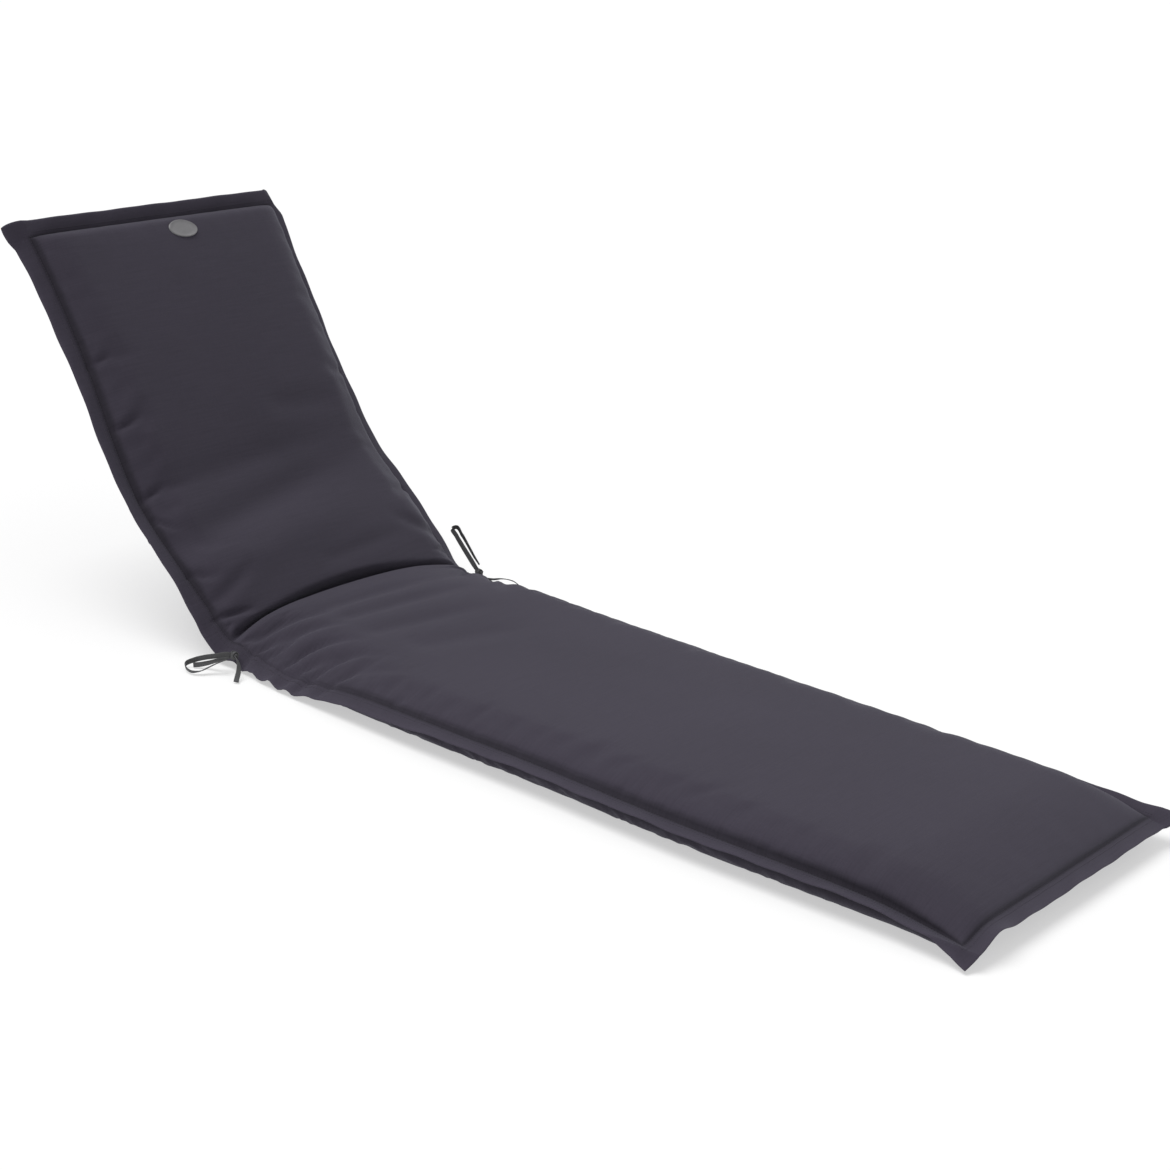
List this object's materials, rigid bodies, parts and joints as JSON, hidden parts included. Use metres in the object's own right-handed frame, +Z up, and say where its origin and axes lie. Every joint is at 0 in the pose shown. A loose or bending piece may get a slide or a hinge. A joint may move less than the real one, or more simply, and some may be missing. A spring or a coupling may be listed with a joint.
{
  "type": "sun lounger cushion",
  "caption": "Long padded sun lounger cushion with a stitched flange, its back folded up at a crease, tied with flat tapes at both sides, and a bare oval badge.",
  "frame": {"origin": "on the flat underside of the leg section, under the middle of the seat, 0.30 m from the crease towards the foot, at z = 0", "axes": "+X along the cushion from the crease towards the foot, +Y across it towards the far side, +Z up; the raised back lies at -X"},
  "size_m": [1.7142, 0.6735, 0.5469],
  "materials": {
    "cloth": "fine plain woven polyester, satin matt, dark aubergine grey",
    "tape": "flat woven tape, matt, dark grey",
    "badge_plate": "smooth satin mid grey"
  },
  "bodies": {
    "root": {"cushion": "cloth", "badge": "badge_plate", "tie_near_knot": "tape", "tie_near_loop": "tape", "tie_near_end_inner": "tape", "tie_near_end_outer": "tape", "tie_far_knot": "tape", "tie_far_loop_up": "tape", "tie_far_loop_side": "tape", "tie_far_end": "tape"}
  },
  "joints": []
}
